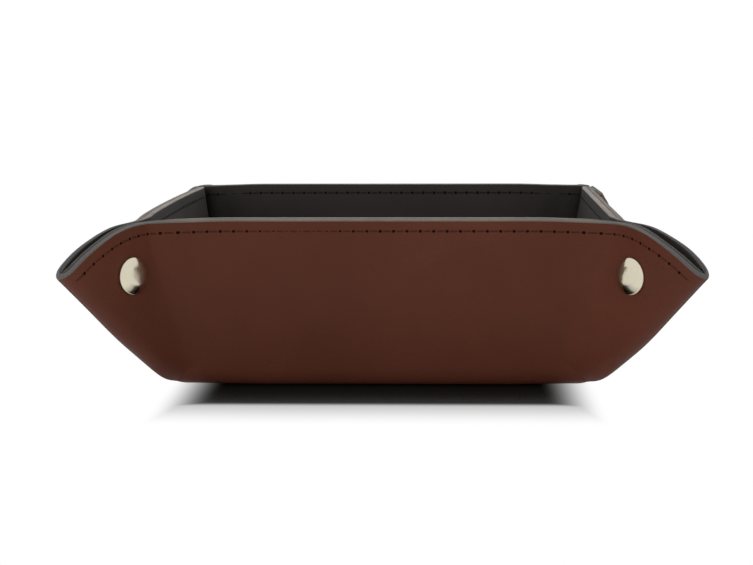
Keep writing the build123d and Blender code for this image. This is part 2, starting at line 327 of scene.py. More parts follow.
class Nodes:
    """A small helper that adds shader nodes and joins them."""

    def __init__(self, name):
        self.mat = bpy.data.materials.new(name)
        self.mat.use_nodes = True
        self.tree = self.mat.node_tree
        self.tree.nodes.clear()
        self.out = self.tree.nodes.new("ShaderNodeOutputMaterial")
        self.shader = self.tree.nodes.new("ShaderNodeBsdfPrincipled")
        self.link(self.shader.outputs[0], self.out.inputs[0])
        self.coords = self.tree.nodes.new("ShaderNodeTexCoord").outputs["Object"]

    def link(self, a, b):
        self.tree.links.new(a, b)

    def put(self, socket, value):
        if isinstance(value, bpy.types.NodeSocket):
            self.link(value, socket)
        elif value is not None:
            socket.default_value = value

    def noise(self, scale, detail=4.0, rough=0.5, distortion=0.0):
        n = self.tree.nodes.new("ShaderNodeTexNoise")
        self.link(self.coords, n.inputs["Vector"])
        n.inputs["Scale"].default_value = scale
        n.inputs["Detail"].default_value = detail
        n.inputs["Roughness"].default_value = rough
        n.inputs["Distortion"].default_value = distortion
        return n.outputs["Fac"]

    def voronoi(self, scale, feature="F1"):
        n = self.tree.nodes.new("ShaderNodeTexVoronoi")
        n.feature = feature
        self.link(self.coords, n.inputs["Vector"])
        n.inputs["Scale"].default_value = scale
        return n.outputs["Distance"]

    def ramp(self, value, stops):
        n = self.tree.nodes.new("ShaderNodeValToRGB")
        self.put(n.inputs[0], value)
        while len(n.color_ramp.elements) < len(stops):
            n.color_ramp.elements.new(0.5)
        for element, (at, colour) in zip(n.color_ramp.elements, stops):
            element.position = at
            element.color = colour
        return n.outputs[0]

    def math(self, op, a, b=None):
        n = self.tree.nodes.new("ShaderNodeMath")
        n.operation = op
        self.put(n.inputs[0], a)
        self.put(n.inputs[1], b)
        return n.outputs[0]

    def mix(self, share, a, b):
        n = self.tree.nodes.new("ShaderNodeMix")
        n.data_type = "RGBA"
        self.put(n.inputs[0], share)
        self.put(n.inputs[6], a)
        self.put(n.inputs[7], b)
        return n.outputs[2]

    def map(self, value, low, high):
        n = self.tree.nodes.new("ShaderNodeMapRange")
        self.put(n.inputs[0], value)
        n.inputs[3].default_value = low
        n.inputs[4].default_value = high
        return n.outputs[0]

    def bump(self, height, distance, strength, under=None):
        n = self.tree.nodes.new("ShaderNodeBump")
        n.inputs["Strength"].default_value = strength
        n.inputs["Distance"].default_value = distance
        self.put(n.inputs["Height"], height)
        self.put(n.inputs["Normal"], under)
        return n.outputs[0]

    def set(self, **values):
        for name, value in values.items():
            self.put(self.shader.inputs[name.replace("_", " ")], value)

    def grain(self, pores, fine, fine_share, crackle, crackle_share):
        """The height of a leather's grain: pores, fine roughness and shallow cracks."""
        height = self.math("ADD", self.math("MULTIPLY", pores, 0.5),
                           self.math("MULTIPLY", fine, fine_share))
        cracks = self.math("MINIMUM", self.math("MULTIPLY", crackle, crackle_share), 0.35)
        return self.math("ADD", height, cracks)


def brown_leather():
    m = Nodes("brown_leather")
    broad = m.noise(16, 3, 0.55)
    patch = m.noise(70, 4, 0.6, 0.4)
    fine = m.noise(900, 3, 0.6)
    stops = [(0.28, srgb(66, 32, 20)), (0.52, srgb(73, 36, 23)), (0.75, srgb(81, 41, 27))]
    base = m.mix(m.map(patch, 0.0, 0.35), m.ramp(broad, stops), srgb(62, 29, 20))
    base = m.mix(m.map(fine, 0.0, 0.18), base, srgb(94, 49, 33))
    m.set(Base_Color=base, Roughness=m.map(patch, 0.46, 0.60), Specular_IOR_Level=0.16)
    height = m.grain(m.voronoi(2600), fine, 0.8, m.voronoi(1500, "DISTANCE_TO_EDGE"), 1.6)
    soft = m.bump(m.noise(60, 3, 0.5), 0.0012, 0.16)
    m.set(Normal=m.bump(height, 0.00022, 0.30, soft))
    return m.mat


def lining_leather():
    m = Nodes("lining_leather")
    broad = m.noise(20, 3, 0.5)
    fine = m.noise(800, 4, 0.65)
    base = m.ramp(broad, [(0.3, srgb(36, 33, 32)), (0.7, srgb(46, 42, 41))])
    base = m.mix(m.map(fine, 0.0, 0.22), base, srgb(66, 61, 60))
    m.set(Base_Color=base, Roughness=m.map(fine, 0.58, 0.74), Specular_IOR_Level=0.14)
    height = m.grain(m.voronoi(2200), fine, 1.0, m.voronoi(1100, "DISTANCE_TO_EDGE"), 1.5)
    m.set(Normal=m.bump(height, 0.00025, 0.4))
    return m.mat


# From the first to the second distance from the tray's middle lines the edge is an ear's, in metres
EAR_PAINT_RANGE = (0.064, 0.080)


def edge_paint(name, low, high, ear):
    """The sheet's cut edge: one colour along the walls, another round the ears."""
    m = Nodes(name)
    broad = m.noise(60, 3, 0.6)
    fine = m.noise(1400, 4, 0.7)
    streak = m.noise(420, 3, 0.6, 1.0)
    place = m.tree.nodes.new("ShaderNodeSeparateXYZ")
    m.link(m.coords, place.inputs[0])
    inner = m.math("MINIMUM", *(m.math("ABSOLUTE", place.outputs[k]) for k in (0, 1)))
    on_ear = m.tree.nodes.new("ShaderNodeMapRange")
    on_ear.interpolation_type = "SMOOTHSTEP"
    m.link(inner, on_ear.inputs[0])
    on_ear.inputs[1].default_value, on_ear.inputs[2].default_value = EAR_PAINT_RANGE
    base = m.ramp(broad, [(0.3, low), (0.7, high)])
    base = m.mix(on_ear.outputs[0], base, ear)
    base = m.mix(m.map(streak, 0.0, 0.45), base, tuple(0.45 * v for v in low[:3]) + (1,))
    m.set(Base_Color=base, Roughness=m.map(fine, 0.5, 0.75), Specular_IOR_Level=0.2)
    height = m.math("ADD", fine, m.math("MULTIPLY", streak, 0.8))
    m.set(Normal=m.bump(height, 0.0003, 0.45))
    return m.mat


def thread_mat(name, light, dark):
    m = Nodes(name)
    fine = m.noise(2400, 3, 0.6, 2.0)
    m.set(Base_Color=m.mix(fine, light, dark), Roughness=0.7, Specular_IOR_Level=0.08)
    m.set(Normal=m.bump(fine, 0.00015, 0.5))
    return m.mat


# A needle hole is drawn as a near black disc on the face: painted shade of the hole's recess
def hole_shade_mat():
    m = Nodes("stitch_hole_shade")
    colour = m.mix(m.noise(3000, 2), srgb(16, 7, 5), srgb(28, 13, 10))
    m.set(Base_Color=colour, Roughness=0.9, Specular_IOR_Level=0.02)
    return m.mat


def nickel(name, tint, rough_low, rough_high):
    m = Nodes(name)
    smudge = m.noise(260, 4, 0.6)
    fine = m.noise(5200, 3, 0.6)
    base = m.mix(m.map(smudge, 0.0, 0.35), tint, srgb(176, 166, 142))
    m.set(Base_Color=base, Metallic=1.0, Roughness=m.map(smudge, rough_low, rough_high))
    m.set(Normal=m.bump(fine, 0.00004, 0.12, m.bump(m.noise(150, 2), 0.0004, 0.05)))
    return m.mat


BROWN = brown_leather()
GREY = lining_leather()
PAINT = edge_paint("edge_leather", srgb(98, 91, 84), srgb(116, 108, 100), srgb(84, 84, 82))
JOIN = edge_paint("edge_join", srgb(62, 58, 55), srgb(76, 72, 68), srgb(44, 43, 43))
# The lining's edge is pale along the walls, partly its grey edge paint and partly a painted highlight
# where the rounded edge catches the light; round the ears it is dark, partly the lining's own unpainted
# edge and partly painted shade of the gap between the halves
PAINT_IN = edge_paint("edge_lining", srgb(120, 113, 106), srgb(150, 142, 133), srgb(46, 46, 47))
SHEET = [BROWN, GREY, PAINT, JOIN, PAINT_IN]
BROWN_THREAD = thread_mat("thread_brown", srgb(72, 36, 27), srgb(54, 26, 19))
GREY_THREAD = thread_mat("thread_grey", srgb(40, 37, 36), srgb(22, 20, 20))
HOLE_SHADE = hole_shade_mat()
NICKEL = nickel("nickel_polished", srgb(218, 211, 190), 0.10, 0.2)
NICKEL_DULL = nickel("nickel_inside", srgb(200, 196, 184), 0.22, 0.34)
STEEL = nickel("spring_wire", srgb(170, 170, 172), 0.28, 0.4)


# Mesh helpers, in millimetres at the front right corner until they are placed

# How far the side walls lean out at the most, and where that sets in or ends, for rise()
RIGHT_SPREAD, LEFT_SPREAD = 3.0, 4.8
SPREAD_IN, SPREAD_OUT, SPREAD_UP = (62, 12), (84, 14), (0, 54)
RIGHT_END, LEFT_END = (76, 18), (72, 30)
# The left wall's lean is largest at this y and falls off over these distances to both sides
LEFT_MIDDLE, LEFT_FRONTWARD, LEFT_BACKWARD, LEFT_POWER = -42, 62, 118, 0.8
# The front and rear rims stand a little higher
RIM_LIFT, RIM_LIFT_UP, RIM_LIFT_IN, RIM_LIFT_END = 0.6, (35, 20), (60, 8), (50, 25)


def spread(p):
    """Lets the side walls' upper parts lean out more, as soft leather does, and lifts the
    front and rear rims."""
    side, y, z = np.abs(p[:, 0]), np.abs(p[:, 1]), p[:, 2]
    near = rise(side, *SPREAD_IN) * (1 - rise(side, *SPREAD_OUT)) * rise(z, *SPREAD_UP)
    right = RIGHT_SPREAD * (1 - rise(y, *RIGHT_END))
    width = np.where(p[:, 1] < LEFT_MIDDLE, LEFT_FRONTWARD, LEFT_BACKWARD)
    along = np.clip((p[:, 1] - LEFT_MIDDLE) / width, -1, 1)
    left = LEFT_SPREAD * np.cos(along * math.pi / 2).clip(0, 1) ** LEFT_POWER
    left = left * (1 - rise(y, *LEFT_END))
    rim = rise(z, *RIM_LIFT_UP) * rise(y, *RIM_LIFT_IN) * (1 - rise(side, *RIM_LIFT_END))
    q = p.copy()
    q[:, 2] += RIM_LIFT * rim
    q[:, 0] += near * np.where(p[:, 0] > 0, right, -left)
    return q


def place_on(points, side, mirrored):
    p = np.array(points, float).reshape(-1, 3)
    if mirrored:
        p = p * (-1, 1, 1)
    p = corner_lift(p)
    a = math.radians(SIDES[side])
    c, s = math.cos(a), math.sin(a)
    x, y, z = p.T
    return spread(np.stack([x * c - y * s, x * s + y * c, z], 1)) * MM


def make_object(name, points, faces, mats, indices, flip=False):
    mesh = bpy.data.meshes.new(name)
    if flip:
        faces = [f[::-1] for f in faces]
    mesh.from_pydata([tuple(p) for p in points], [], faces)
    for m in mats:
        mesh.materials.append(m)
    mesh.polygons.foreach_set("material_index", indices)
    mesh.polygons.foreach_set("use_smooth", [True] * len(faces))
    mesh.validate()
    mesh.update()
    obj = bpy.data.objects.new(name, mesh)
    bpy.context.scene.collection.objects.link(obj)
    return obj


class Build:
    """Collects grids of points and their faces, with a material each."""

    def __init__(self):
        self.points, self.faces, self.index = [], [], []
        self.count = 0

    def grid(self, g, material, flip=False):
        """g has the shape rows, columns, 3.
        The material is one index, or one for each strip between two rows."""
        g = np.asarray(g)
        rows, cols = g.shape[:2]
        self.points.append(g.reshape(-1, 3))
        strips = [material] * (rows - 1) if isinstance(material, int) else material
        for r in range(rows - 1):
            for c in range(cols - 1):
                a = self.count + r * cols + c
                f = (a, a + 1, a + cols + 1, a + cols)
                self.faces.append(f[::-1] if flip else f)
                self.index.append(strips[r])
        self.count += rows * cols

    def all_points(self):
        return np.concatenate(self.points)


# The cut edge: how far its two corners are rounded, its bulge, and the groove between the layers
EDGE_ROUND = 0.42
EDGE_BULGE = 0.12
ROUND_STEPS = (0.0, 0.25, 0.5, 0.75, 1.0)
GROOVE_STEPS = ((0.25, 0), (0.46, 0), (0.515, 0.06), (0.543, 0.16), (0.571, 0.06), (0.63, 0), (0.8, 0))
# The materials of its strips: the brown sheet, the join and the lining
LAYERS = [2] * 6 + [3] * 4 + [4] * 6


def rim_strip(brown, brown_before, lining, lining_before):
    """Rows of points across a painted edge, from the brown face to the lining face.
    The first two arrays are the edge and the row before it on the brown face, the others
    are the same on the lining face."""
    across = unit(lining - brown)
    tb = unit(brown - brown_before)
    tl = unit(lining - lining_before)
    r = np.minimum(EDGE_ROUND, np.linalg.norm(lining - brown, axis=-1, keepdims=True) / 2.2)

    def rounded(a, corner, b):
        return [(1 - t) ** 2 * a + 2 * t * (1 - t) * corner + t * t * b for t in ROUND_STEPS]

    rows = rounded(brown - tb * r, brown, brown + across * r)
    a, b = rows[-1], lining - across * r
    for t, groove in GROOVE_STEPS:
        bulge = unit(tb + tl) * (EDGE_BULGE * math.sin(math.pi * t) - groove)
        rows.append(a * (1 - t) + b * t + bulge)
    return np.array(rows + rounded(b, lining, lining - tl * r))


def pull_back(g):
    """Moves the last row of a grid back along its face, to where the edge begins to round."""
    g = g.copy()
    g[-1] = g[-1] - unit(g[-1] - g[-2]) * EDGE_ROUND
    return g


# The pieces of the sheet

# The columns of a wall stand closer together towards its ends
COLUMN_TURN = math.pi / 2 * 0.86
WALL_COLUMNS = np.sin(np.linspace(-1, 1, 101) * COLUMN_TURN) / math.sin(COLUMN_TURN)


def wall_grid(depth):
    rows = []
    for v in ROWS:
        x = seam_x(v, depth) * WALL_COLUMNS
        rows.append(wall_point(x, np.full_like(x, v), depth))
    return np.array(rows)


def build_walls():
    made = {}
    for side in SIDES:
        b = Build()
        brown, lining = wall_grid(0.0), wall_grid(THICK)
        b.grid(pull_back(brown), 0)
        b.grid(pull_back(lining), 1, flip=True)
        b.grid(rim_strip(brown[-1], brown[-2], lining[-1], lining[-2]), LAYERS)
        p = place_on(b.all_points(), side, False)
        made[side] = make_object(f"sheet_wall_{side}", p, b.faces, SHEET, b.index)
    return made


BASE_COLUMNS = 41
DISH, DISH_RADIUS, DISH_SHARE = 0.25, 45, 0.6


def build_base():
    b = Build()
    edge = BASE_HALF - FLAT_START
    line = np.linspace(-edge, edge, BASE_COLUMNS)
    x, y = np.meshgrid(line, line)
    dish = DISH * np.exp(-(np.hypot(x, y) / DISH_RADIUS) ** 2)
    b.grid(np.stack([x, y, 0 * x], -1), 0, flip=True)
    b.grid(np.stack([x, y, THICK - dish * DISH_SHARE], -1), 1)
    p = corner_lift(b.all_points()) * MM
    return make_object("sheet_base", p, b.faces, [BROWN, GREY], b.index)


def coons(bottom, top, left, right, u, s):
    """A patch between four curves; u is rows by columns, s is one value for each column."""
    out = np.zeros(u.shape + (2,))
    (l0, l1), (r0, r1) = (curve(np.array([0.0, 1.0])) for curve in (left, right))
    for i, si in enumerate(s):
        ui = u[:, i]
        up, down = ui[:, None], (1 - ui)[:, None]
        straight = down * bottom(si) + up * top(si)
        dl = left(ui) - (down * l0 + up * l1)
        dr = right(ui) - (down * r0 + up * r1)
        out[:, i] = straight + (1 - si) * dl + si * dr
    return out


def polyline(points):
    """A curve through points, by its share of the length."""
    d = np.concatenate([[0], np.cumsum(np.linalg.norm(np.diff(points, axis=0), axis=1))])
    d /= d[-1]

    def at(t):
        return np.stack([np.interp(t, d, points[:, k]) for k in range(2)], -1)
    at.shares = d
    return at


EAR_COLUMNS = 74
SPLIT_TURN = math.radians(29)
# Points taken along the fold edge, the rim and the round corner
FOLD_POINTS, RIM_POINTS, ROUND_POINTS = 160, 200, 60
# Points over which the fold edge joins the wall's seam, and millimetres for the rim and the bevel
FOLD_EASE, RIM_EASE, BEVEL_EASE = 12, 8.0, 14.0
# Rows round the fold edge, the least height they are shared over, and where they begin and end
ROUND_ROWS, LEAST_HEIGHT, ROUND_FROM, ROUND_TO = 10, 8.0, 0.12, 0.98
SEAM_SHARE = 0.30


def ear_patch(half, lining):
    """Points in e and z of one face of an ear half, its rows from the fold edge to the rim,
    and the points of the wall's seam that its first column joins."""
    depth = THICK if lining else 0.0
    bevel = 0.0 if lining else half.bevel
    radius = CORNER_RADIUS - bevel
    round_in = EAR_GAP / 2 if lining else EAR_OUT
    high = ROWS[FIRST_HIGH:]
    seam = wall_point(seam_x(high, depth), high, depth)
    e0, z0 = (seam - V) @ E_DIR, seam[:, 2]
    left = polyline(np.stack([e0, z0], 1))
    ec, zc = half.centre_ez()
    # The fold edge, from the seam to the tip
    tip_turn = math.asin(depth / radius)
    tip_e = ec + radius * math.cos(FOLD_CLIMB + tip_turn)
    tip_z = zc + radius * math.sin(FOLD_CLIMB + tip_turn)
    es = np.linspace(e0[0], tip_e, FOLD_POINTS)
    zs = half.floor(es, lining)
    zs = zs + (tip_z - zs[-1]) * np.clip((es - es[0]) / (es[-1] - es[0]), 0, 1) ** 3
    zs[0] = z0[0]
    ease = 1 - np.arange(1, FOLD_EASE) / FOLD_EASE
    zs[1:FOLD_EASE] += (z0[0] - half.floor(e0[0], lining)) * ease
    bottom = polyline(np.stack([es, zs], 1))
    # The rim from the seam to where the patch's corner lies, then down to the tip
    split = ec + radius * math.cos(FOLD_CLIMB + SPLIT_TURN)
    et = np.linspace(e0[-1], split, RIM_POINTS)
    zt = half.rim(et, bevel * rise(et, et[0], BEVEL_EASE), lining)
    zt = zt + (z0[-1] - zt[0]) * (1 - rise(et, et[0], RIM_EASE))
    top = polyline(np.stack([et, zt], 1))
    turns = FOLD_CLIMB + np.linspace(tip_turn, SPLIT_TURN, ROUND_POINTS)
    right = polyline(np.stack([ec + radius * np.cos(turns), zc + radius * np.sin(turns)], 1))
    # Row shares: as on the seam at the left, close together along the fold edge further out
    s = np.linspace(0, 1, EAR_COLUMNS)
    near = round_in * (1 - np.cos(np.linspace(0, math.pi / 2, ROUND_ROWS)))
    u = np.zeros((len(high), EAR_COLUMNS))
    for i, si in enumerate(s):
        length = max(np.linalg.norm(top(si) - bottom(si)), LEAST_HEIGHT)
        first = (near / math.cos(FOLD_CLIMB) if si < ROUND_TO else near) / length
        own = np.concatenate([first, np.linspace(first[-1], 1, len(high) - ROUND_ROWS + 1)[1:]])
        w = smoothstep(si / ROUND_FROM)
        u[:, i] = left.shares * (1 - w) + own * w
    return coons(bottom, top, left, right, u, s), seam


def ear_grids(half):
    faces = []
    for lining in (False, True):
        ez, seam = ear_patch(half, lining)
        g = half.surface(ez[..., 0], ez[..., 1], lining)
        share = 1 - smoothstep(np.linspace(0, 1, EAR_COLUMNS) / SEAM_SHARE)
        faces.append(g + (seam - g[:, 0])[:, None] * share[None, :, None])
    return faces


# Where the strip in the fold starts, how far it ends before the tip, and its lift over the fold
FLANGE_START, FLANGE_SHORT, FLANGE_LIFT = 6.0, 4.0, 1.3
FLANGE_COLUMNS, FLANGE_ROWS = 60, 5


def fold_flange(half):
    """The lining's face carried on to the bottom of the fold.
    It is inside the sheet at rest, and seen when the tray lies flat."""
    reach = half.centre_ez()[0] + (CORNER_RADIUS - half.bevel - FLANGE_SHORT) * math.cos(FOLD_CLIMB)
    e = np.linspace(FLANGE_START, reach, FLANGE_COLUMNS)
    low = half.floor(e, False) + half.bow_at(e) / math.cos(FOLD_CLIMB) + FLANGE_LIFT
    high = half.floor(e, True) + EAR_GAP
    share = np.linspace(0, 1, FLANGE_ROWS)[:, None]
    z = low * (1 - share) + high * share
    return half.place(np.broadcast_to(e, z.shape), z, np.full_like(z, EAR_GAP / 2))


def rim_loop(g):
    """The edge of an ear's face from the seam along the rim to the tip, and the points next
    to it inside."""
    edge = np.concatenate([g[-1, :], g[-2::-1, -1]])
    inside = np.concatenate([g[-2, :-1], g[-2, -2][None], g[-2::-1, -2]])
    return edge, inside


def pull_back_loop(g):
    """Moves the edge of an ear's face back, as pull_back does for a wall's."""
    g = g.copy()
    t = unit(g[-1, :] - g[-2, :])
    t[-1] = unit(g[-1, -1] - g[-2, -2])
    g[-1, :] -= t * EDGE_ROUND
    g[:-1, -1] -= unit(g[:-1, -1] - g[:-1, -2]) * EDGE_ROUND
    return g


def build_ears(halves):
    made = {}
    for (side, end), half in halves.items():
        mirrored = end == LAST[side]
        brown, lining = ear_grids(half)
        b = Build()
        b.grid(pull_back_loop(brown), 0)
        b.grid(pull_back_loop(lining), 1, flip=True)
        b.grid(fold_flange(half), 1, flip=True)
        b.grid(rim_strip(*rim_loop(brown), *rim_loop(lining)), LAYERS)
        p = place_on(b.all_points(), side, mirrored)
        name = f"sheet_ear_{side}_{end}"
        made[side, end] = make_object(name, p, b.faces, SHEET, b.index, flip=mirrored)
    return made


# The two ear halves of each wall, by the wall's side and the side that its corner leads to
HALVES = {(side, end): Half(corner_name(side, end), side not in CAP_SIDES)
          for side in SIDES for end in (NEXT[side], LAST[side])}

walls = build_walls()
ears = build_ears(HALVES)
base = build_base()


def ear_blend(obj):
    """Bakes a piece's placement into its mesh."""
    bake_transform(obj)


def wall_blend(obj):
    """Bakes a piece's placement into its mesh."""
    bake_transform(obj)


for side, obj in walls.items():
    wall_blend(obj)
    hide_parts(f"leather_wall_{side}", f"lining_wall_{side}")
for (side, end), obj in ears.items():
    ear_blend(obj)
    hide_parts(f"leather_ear_{side}_{end}", f"lining_ear_{side}_{end}")
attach(base, "base")
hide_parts("leather_base", "lining_base")


# Stitches

# Steps along the path on the wall and on the ear, and small distances for the normals
WALL_STEP, EAR_STEP, NUDGE, NUDGE_ROW = 0.5, 0.4, 0.1, 0.01
# Where the path leaves the straight rim, and how far from the fold it ends on both faces
STITCH_SPLIT = math.radians(40)
BROWN_LAST, LINING_LAST = 1.2, 4.3


def stitch_path(half, lining):
    """A line of points along the stitch row, from the wall's middle to the ear's tip.
    Returns the points, their normals, and whether each lies on the ear's piece."""
    depth = THICK if lining else 0.0
    v = 2 + (SLANT - STITCH_MARGIN - BEND_REACH) / (SLANT - BEND_REACH)
    limit = float(seam_x(np.array([v]), depth)[0])
    x = np.arange(0, limit, WALL_STEP)
    wall = wall_point(x, np.full_like(x, v), depth)
    up = wall_point(x, np.full_like(x, v + NUDGE_ROW), depth)
    right = wall_point(x + NUDGE, np.full_like(x, v), depth)
    wall_normals = unit(np.cross(right - wall, up - wall))
    seam = wall_point(np.array([limit]), np.array([v]), depth)
    e0 = float(((seam - V) @ E_DIR)[0])
    ec, zc = half.centre_ez()
    r = CORNER_RADIUS - STITCH_MARGIN
    end_turn = math.asin((LINING_LAST if lining else BROWN_LAST) / r)
    straight = np.arange(e0, ec + r * math.cos(FOLD_CLIMB + STITCH_SPLIT), EAR_STEP)
    turns = FOLD_CLIMB + np.arange(STITCH_SPLIT, end_turn, -EAR_STEP / r)
    e = np.concatenate([straight, ec + r * np.cos(turns)])
    z = np.concatenate([half.rim(straight, STITCH_MARGIN, lining), zc + r * np.sin(turns)])
    ear = half.surface(e, z, lining)
    du = half.surface(e + NUDGE, z, lining) - ear
    dv = half.surface(e, z + NUDGE, lining) - ear
    p = np.concatenate([wall, ear])
    n = np.concatenate([wall_normals, unit(np.cross(du, dv))])
    # The brown face's normals point out of the tray, the lining's into it
    flip = np.sign(np.sum(n * np.array([0, -1, 0]), -1))
    n = n * flip[:, None] * (-1 if lining else 1)
    return p, n, np.arange(len(p)) >= len(wall)


# A bar's sides and rings, the power of its taper, and the thickness of its body and its tips
BAR_SIDES, BAR_RINGS, BAR_POWER, BAR_BODY, BAR_TIP = 8, 7, 3.2, 0.94, 0.06


def bar(centre, along, normal, length, width, height):
    """Points and faces of one long rounded bar."""
    across = unit(np.cross(normal, along))
    points, faces = [], []
    for r in range(BAR_RINGS):
        t = -1 + 2 * r / (BAR_RINGS - 1)
        thick = math.sqrt(max(1 - abs(t) ** BAR_POWER, 0.0)) * BAR_BODY + BAR_TIP
        for s in range(BAR_SIDES):
            a = 2 * math.pi * s / BAR_SIDES
            points.append(centre + along * (t * length / 2)
                          + across * (math.cos(a) * width / 2 * thick)
                          + normal * (math.sin(a) * height / 2 * thick))
    for r in range(BAR_RINGS - 1):
        for s in range(BAR_SIDES):
            a, b = r * BAR_SIDES + s, r * BAR_SIDES + (s + 1) % BAR_SIDES
            faces.append((a, b, b + BAR_SIDES, a + BAR_SIDES))
    faces.append(tuple(range(BAR_SIDES))[::-1])
    faces.append(tuple((BAR_RINGS - 1) * BAR_SIDES + s for s in range(BAR_SIDES)))
    return np.array(points), faces


# How much of the path's end is free of whole stitches, and of anything
FREE_OF_STITCHES, FREE_END = 1.2, 0.8


def stitches_for(half, lining):
    """Places of the stitches and of the holes between them.
    Each is its kind, its centre, its direction, its normal, and whether it is on the ear."""
    p, n, on_ear = stitch_path(half, lining)
    d = np.concatenate([[0], np.cumsum(np.linalg.norm(np.diff(p, axis=0), axis=1))])
    out = []
    count = int((d[-1] - FREE_OF_STITCHES) // STITCH_PITCH)
    for i in range(count + 1):
        for kind, at in (("stitch", (i + 0.5) * STITCH_PITCH), ("hole", i * STITCH_PITCH)):
            if at > d[-1] - FREE_END:
                continue
            k = int(np.searchsorted(d, at))
            k = min(max(k, 1), len(d) - 2)
            c = np.array([np.interp(at, d, p[:, j]) for j in range(3)])
            along = unit(p[k + 1] - p[k - 1])
            nn = unit(n[k] - along * np.dot(n[k], along))
            out.append((kind, c, along, nn, bool(on_ear[k])))
    return out


# Length, width and height of a stitch and of the dark disc painted as a needle hole's shade, and how
# deep each is sunk
STITCH_SIZE, STITCH_SUNK, STITCH_TILT = (3.5, 0.8, 0.62), 0.16, 0.035
HOLE_SHADE_SIZE, HOLE_SHADE_SUNK = (1.25, 1.1, 0.12), 0.02


def build_thread():
    made = {}
    for (side, end), half in HALVES.items():
        mirrored = end == LAST[side]
        for lining in (False, True):
            for kind, c, along, nn, on_ear in stitches_for(half, lining):
                key = (side, end if on_ear else None)
                b = made.setdefault(key, {"points": [], "faces": [], "index": []})
                if kind == "stitch":
                    along = unit(along + unit(np.cross(nn, along)) * STITCH_TILT)
                    points, faces = bar(c - nn * STITCH_SUNK, along, nn, *STITCH_SIZE)
                    material = 1 if lining else 0
                elif c[0] < 0.01 and mirrored and not on_ear:
                    # The other half of the wall has made the hole in its middle
                    continue
                else:
                    # The hole is a flat dark disc: painted shade of its recess
                    points, faces = bar(c - nn * HOLE_SHADE_SUNK, along, nn, *HOLE_SHADE_SIZE)
                    material = 2
                offset = sum(len(q) for q in b["points"])
                b["points"].append(place_on(points, side, mirrored))
                b["faces"] += [tuple(offset + k for k in (f[::-1] if mirrored else f)) for f in faces]
                b["index"] += [material] * len(faces)
    threads = [BROWN_THREAD, GREY_THREAD, HOLE_SHADE]
    for (side, end), b in made.items():
        name = f"stitching_wall_{side}" if end is None else f"stitching_ear_{side}_{end}"
        obj = make_object(name, np.concatenate(b["points"]), b["faces"], threads, b["index"])
        if end is None:
            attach(obj, f"wall_{side}")
            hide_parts(f"thread_wall_{side}")
        else:
            ear_blend(obj)
            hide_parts(f"thread_ear_{side}_{end}")


build_thread()


# Snap caps and posts, turned from their profiles

TURNED_STEPS = 72


def lathe(profile):
    """A body turned about +Z from (radius, height) points."""
    points, faces = [], []
    n = TURNED_STEPS
    for r, z in profile:
        for s in range(n):
            a = 2 * math.pi * s / n
            points.append((r * math.cos(a), r * math.sin(a), z))
    for k in range(len(profile) - 1):
        for s in range(n):
            a, b = k * n + s, k * n + (s + 1) % n
            faces.append((a, b, b + n, a + n))
    return np.array(points, float), faces


PROFILE_ROUND, PROFILE_STEPS = 0.35, 3


def smooth_profile(points):
    """Rounds a profile's inner points with short curves."""
    out = [points[0]]
    for a, b, c in zip(points, points[1:], points[2:]):
        a, b, c = map(np.array, (a, b, c))
        la, lc = np.linalg.norm(a - b), np.linalg.norm(c - b)
        r = min(PROFILE_ROUND, la * 0.45, lc * 0.45)
        p, q = b + (a - b) / la * r, b + (c - b) / lc * r
        for i in range(PROFILE_STEPS + 1):
            t = i / PROFILE_STEPS
            out.append(tuple((1 - t) ** 2 * p + 2 * t * (1 - t) * b + t * t * q))
    out.append(points[-1])
    return out


# The cap's radius, the height of its rolled edge and of its dome, and the dome's shape
CAP_RADIUS, CAP_EDGE, CAP_DOME = 6.2, 0.95, 2.2
DOME_INSET, DOME_STEP, DOME_POINTS, DOME_FLAT, DOME_ROUND = 0.14, 0.05, 34, 3.4, 0.8
# The profiles start just under the leather and off the axis
SUNK, AXIS = -0.05, 0.001


def cap_profile():
    rim = CAP_RADIUS
    pts = [(AXIS, SUNK), (rim - 0.35, SUNK), (rim - 0.05, 0.12), (rim, 0.34), (rim - 0.03, 0.75)]
    rise_over = CAP_DOME - CAP_EDGE - DOME_STEP
    for i in range(DOME_POINTS):
        r = (rim - DOME_INSET) * math.cos(math.pi / 2 * i / (DOME_POINTS - 1))
        z = CAP_EDGE + DOME_STEP + rise_over * (1 - (r / rim) ** DOME_FLAT) ** DOME_ROUND
        pts.append((max(r, AXIS), z))
    return pts


POST_PROFILE = [(2 * AXIS, SUNK), (4.7, SUNK), (4.7, 0.35), (4.5, 0.7), (3.9, 0.98), (3.2, 1.05),
                (2.75, 1.0), (2.5, 0.8), (2.45, 0.55), (2.2, 0.4), (AXIS, 0.4)]


def snap_frame(side, end):
    """The snap's place on the brown face of an ear half, and its three directions, as the
    part has them."""
    a = np.array(-HALVES[side, end].swing)
    p = V + SNAP_REACH * E_DIR + np.array([0, 0, SNAP_HEIGHT]) + EAR_OUT * N_DIR
    p = rotate_about(p[None], V, CORNER_LINE, a[None])[0]
    return p, [rotate_about(d[None], np.zeros(3), CORNER_LINE, a[None])[0]
               for d in (E_DIR, Z_DIR, N_DIR)]


def build_snaps():
    profiles = {"cap": lathe(cap_profile()), "post": lathe(smooth_profile(POST_PROFILE))}
    for side, end in HALVES:
        p, (x, y, n) = snap_frame(side, end)
        mirrored = end == LAST[side]
        corner = corner_name(side, end)
        kind = "cap" if side in CAP_SIDES else "post"
        pts, faces = profiles[kind]
        points = place_on(p + pts[:, :1] * x + pts[:, 1:2] * y + pts[:, 2:] * n, side, mirrored)
        obj = make_object(f"snap_{kind}_dressed_{corner}", points, faces, [NICKEL],
                          [0] * len(faces), flip=not mirrored)
        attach(obj, f"ear_{side}_{end}")
        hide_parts(f"snap_{kind}_{corner}")


build_snaps()

